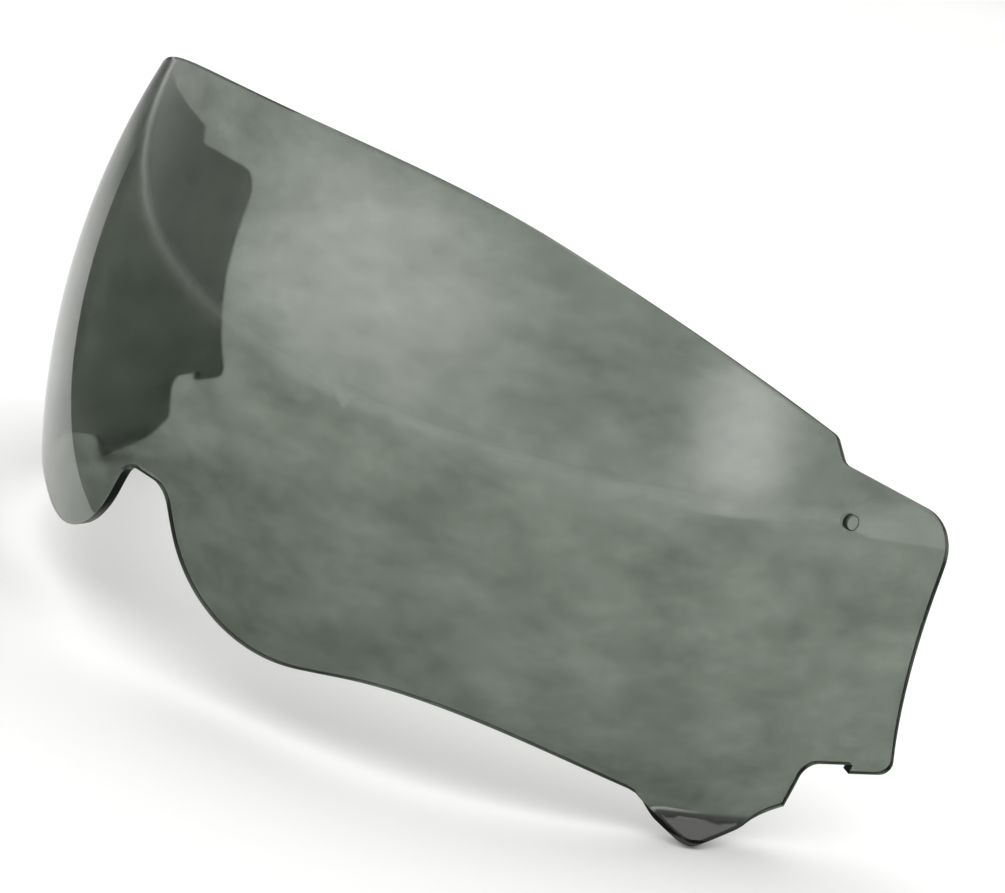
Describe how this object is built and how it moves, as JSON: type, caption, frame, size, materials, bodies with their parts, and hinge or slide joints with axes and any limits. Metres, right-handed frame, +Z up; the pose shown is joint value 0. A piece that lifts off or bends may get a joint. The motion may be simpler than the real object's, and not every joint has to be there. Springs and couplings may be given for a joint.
{
  "type": "helmet sun visor lens",
  "caption": "Smoke-tinted wrap-round sun visor lens for a motorcycle helmet, with a nose arch, side ears with pivot pegs, notches and flared finger tabs.",
  "frame": {"origin": "under the middle of the lens' bounding box, at the level of its lowest points, the finger tabs' tips", "axes": "+X forward out of the nose arch, +Y to the wearer's left, +Z up as worn with the lens down"},
  "size_m": [0.1039, 0.222, 0.1089],
  "materials": {
    "tinted_lens": "clear smoke-green tinted polycarbonate, polished on both faces"
  },
  "bodies": {
    "root": {"visor_lens": "tinted_lens"}
  },
  "joints": []
}
